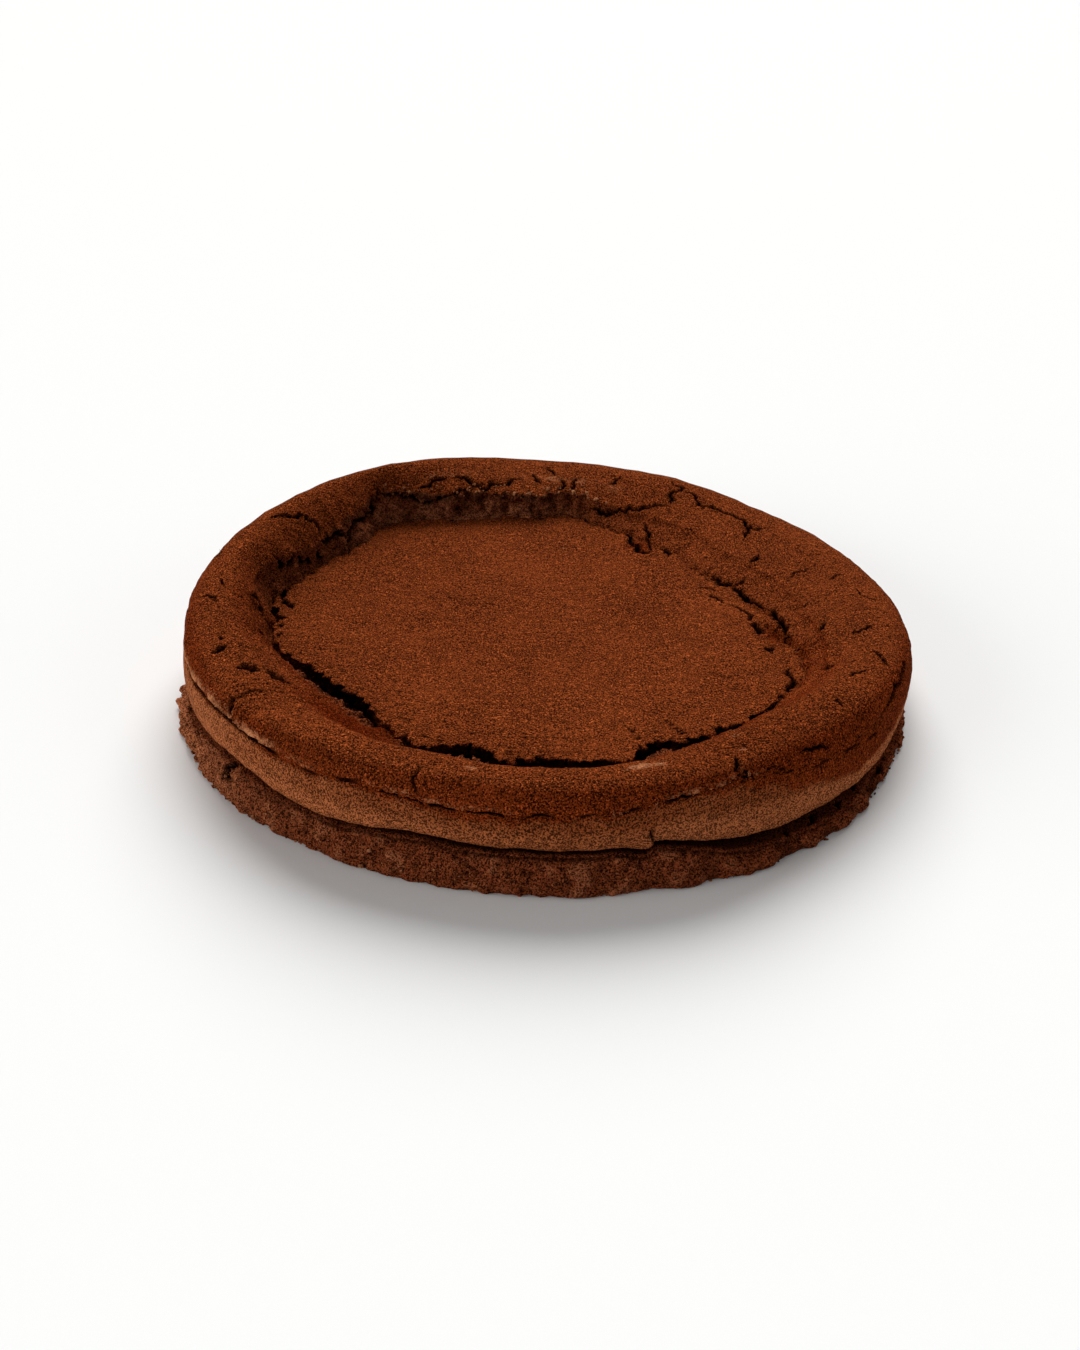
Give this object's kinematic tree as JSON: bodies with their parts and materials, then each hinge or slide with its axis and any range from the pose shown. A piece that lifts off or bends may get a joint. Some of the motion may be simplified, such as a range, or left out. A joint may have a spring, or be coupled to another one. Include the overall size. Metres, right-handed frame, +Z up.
{
  "type": "chocolate torte",
  "caption": "Round, low chocolate torte with a rolled, cracked, cocoa-dusted rim round a sunken flat top, a pinched waist and a torn crumb foot.",
  "frame": {"origin": "on the underside, below the middle of the torte's outline", "axes": "+Z up, +X to the right and +Y to the back as the torte is seen in its picture"},
  "size_m": [0.231, 0.2308, 0.0395],
  "materials": {
    "cocoa_crust": "dry cocoa-dusted crust"
  },
  "bodies": {
    "root": {"torte": "cocoa_crust"}
  },
  "joints": []
}
